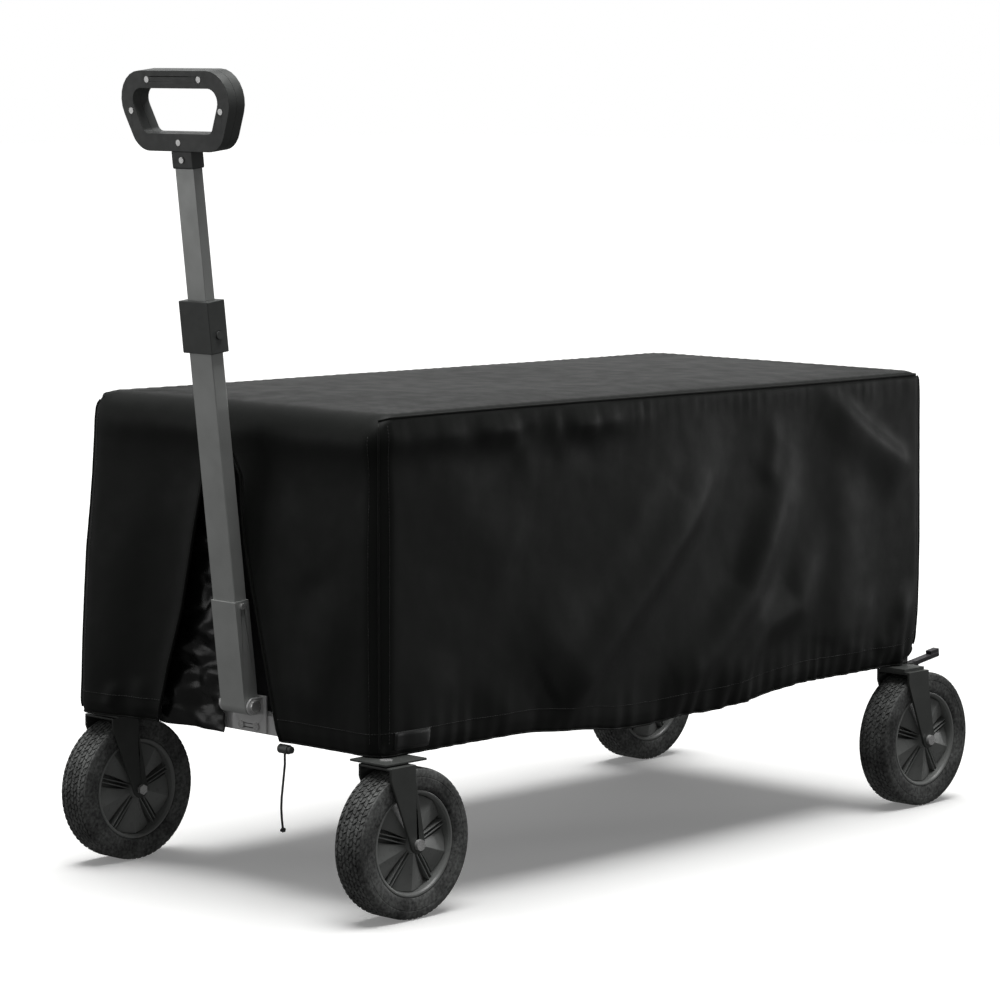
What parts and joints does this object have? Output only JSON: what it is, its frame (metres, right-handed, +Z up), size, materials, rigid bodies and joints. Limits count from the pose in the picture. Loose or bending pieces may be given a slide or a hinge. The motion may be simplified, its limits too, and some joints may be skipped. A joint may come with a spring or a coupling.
{
  "type": "folding camp wagon",
  "caption": "Folding camp wagon under a fitted black cover, with swivel front wheels, braked rear wheels, a centre-folding floor and a telescoping pull handle.",
  "frame": {"origin": "on the ground, in the middle of the wagon's overall box", "axes": "+Y from the pull handle to the rear wheels, +X to the right seen from the front, +Z up"},
  "size_m": [0.588, 1.2503, 1.0433],
  "materials": {
    "frame_paint": "satin black powder coat",
    "fork_paint": "satin black powder coat",
    "bracket_steel": "satin grey paint",
    "pole_paint": "satin graphite paint",
    "bright_steel": "bright zinc plate",
    "black_plastic": "fine moulded grain",
    "sleeve_plastic": "fine moulded grain",
    "pedal_plastic": "moulded",
    "tyre_rubber": "blocky tread, matt rubber",
    "hub_plastic": "semi-gloss moulded petals",
    "cover_cloth": "coated polyester, slight satin",
    "gusset_cloth": "thin glossy coated cloth",
    "basket_cloth": "heavy woven polyester",
    "cord": "braided cord"
  },
  "bodies": {
    "front_frame": {"front_posts": "frame_paint", "front_cross_tubes": "frame_paint", "front_corner_mouldings": "black_plastic", "front_hinge_arms": "frame_paint", "front_caster_plates": "fork_paint", "kingpins": "bright_steel", "basket_front": "basket_cloth", "basket_side_left": "basket_cloth", "basket_side_right": "basket_cloth", "handle_bracket": "bracket_steel", "handle_bolts": "bright_steel", "front_hinge_pins": "bright_steel"},
    "front_floor": {"front_floor_frame": "frame_paint", "front_mat": "basket_cloth", "centre_hinge_pins": "bright_steel"},
    "rear_floor": {"rear_floor_frame": "frame_paint", "rear_mat": "basket_cloth"},
    "rear_frame": {"rear_posts": "frame_paint", "rear_cross_tubes": "frame_paint", "rear_corner_mouldings": "black_plastic", "rear_hinge_arms": "frame_paint", "rear_forks": "fork_paint", "rear_axles": "bright_steel", "basket_rear": "basket_cloth", "rear_hinge_pins": "bright_steel"},
    "caster_left": {"front_fork_left": "fork_paint", "front_axle_left": "bright_steel"},
    "caster_right": {"front_fork_right": "fork_paint", "front_axle_right": "bright_steel"},
    "wheel_front_left": {"tyre_front_left": "tyre_rubber", "hub_front_left": "hub_plastic"},
    "wheel_front_right": {"tyre_front_right": "tyre_rubber", "hub_front_right": "hub_plastic"},
    "wheel_rear_left": {"tyre_rear_left": "tyre_rubber", "hub_rear_left": "hub_plastic"},
    "wheel_rear_right": {"tyre_rear_right": "tyre_rubber", "hub_rear_right": "hub_plastic"},
    "brake_left": {"brake_pedal_left": "pedal_plastic"},
    "brake_right": {"brake_pedal_right": "pedal_plastic"},
    "pole_lower": {"handle_socket": "pole_paint", "pole_outer": "pole_paint", "pole_sleeve": "sleeve_plastic"},
    "snap_pin": {"snap_button": "bright_steel"},
    "release": {"release_button": "black_plastic"},
    "pole_upper": {"pole_inner": "pole_paint", "grip_neck": "sleeve_plastic", "grip_front_shell": "sleeve_plastic", "grip_rear_shell": "sleeve_plastic", "grip_screws": "bright_steel"},
    "cover": {"cover_top": "cover_cloth", "cover_left": "cover_cloth", "cover_right": "cover_cloth", "cover_front": "cover_cloth", "cover_rear": "cover_cloth", "slit_gusset": "gusset_cloth", "drawstring": "cord", "cord_lock": "black_plastic", "drawstring_tail": "cord"},
    "lock_plunger": {"cord_lock_plunger": "black_plastic"}
  },
  "joints": [
    {"name": "fold", "type": "hinge", "parent": "front_frame", "child": "front_floor", "pos_m": [0, -0.364, 0.208], "axis": [1, 0, 0], "range_deg": [0, 84], "deforming": ["basket_side_left", "basket_side_right"]},
    {"name": "centre_fold", "type": "hinge", "parent": "front_floor", "child": "rear_floor", "pos_m": [0, 0.018, 0.208], "axis": [1, 0, 0], "range_deg": [-168, 0]},
    {"name": "rear_fold", "type": "hinge", "parent": "rear_floor", "child": "rear_frame", "pos_m": [0, 0.4, 0.208], "axis": [1, 0, 0], "range_deg": [0, 84]},
    {"name": "caster_swivel_left", "type": "hinge", "parent": "front_frame", "child": "caster_left", "pos_m": [-0.26, -0.515, 0.194], "axis": [0, 0, 1], "continuous": true},
    {"name": "caster_swivel_right", "type": "hinge", "parent": "front_frame", "child": "caster_right", "pos_m": [0.26, -0.515, 0.194], "axis": [0, 0, 1], "continuous": true},
    {"name": "wheel_spin_front_left", "type": "hinge", "parent": "caster_left", "child": "wheel_front_left", "pos_m": [-0.26, -0.488, 0.095], "axis": [1, 0, 0], "continuous": true},
    {"name": "wheel_spin_front_right", "type": "hinge", "parent": "caster_right", "child": "wheel_front_right", "pos_m": [0.26, -0.488, 0.095], "axis": [1, 0, 0], "continuous": true},
    {"name": "wheel_spin_rear_left", "type": "hinge", "parent": "rear_frame", "child": "wheel_rear_left", "pos_m": [-0.26, 0.53, 0.095], "axis": [1, 0, 0], "continuous": true},
    {"name": "wheel_spin_rear_right", "type": "hinge", "parent": "rear_frame", "child": "wheel_rear_right", "pos_m": [0.26, 0.53, 0.095], "axis": [1, 0, 0], "continuous": true},
    {"name": "brake_press_left", "type": "hinge", "parent": "rear_frame", "child": "brake_left", "pos_m": [-0.2387, 0.542, 0.195], "axis": [-1, 0, 0], "range_deg": [0, 12]},
    {"name": "brake_press_right", "type": "hinge", "parent": "rear_frame", "child": "brake_right", "pos_m": [0.2387, 0.542, 0.195], "axis": [-1, 0, 0], "range_deg": [0, 12]},
    {"name": "handle_tilt", "type": "hinge", "parent": "front_frame", "child": "pole_lower", "pos_m": [0, -0.521, 0.24], "axis": [1, 0, 0], "range_deg": [0, 80]},
    {"name": "handle_extend", "type": "slide", "parent": "pole_lower", "child": "pole_upper", "axis": [0, -0.1132, 0.9936], "range_m": [-0.155, 0]},
    {"name": "snap_press", "type": "slide", "parent": "pole_lower", "child": "snap_pin", "axis": [-1, 0, 0], "range_m": [0, 0.003], "stiffness_N_per_m": 200, "springref_m": -0.001},
    {"name": "release_press", "type": "slide", "parent": "pole_lower", "child": "release", "axis": [-1, 0, 0], "range_m": [0, 0.0024], "stiffness_N_per_m": 100, "springref_m": -0.001},
    {"name": "cover_lift", "type": "slide", "parent": "front_frame", "child": "cover", "axis": [0, 0, 1], "range_m": [0, 0.45]},
    {"name": "lock_press", "type": "slide", "parent": "cover", "child": "lock_plunger", "axis": [-1, 0, 0], "range_m": [0, 0.003], "stiffness_N_per_m": 100, "springref_m": -0.001}
  ],
  "couplings": [
    {"joint": "centre_fold", "follows": "fold", "ratio": -2},
    {"joint": "rear_fold", "follows": "fold", "ratio": 1}
  ]
}
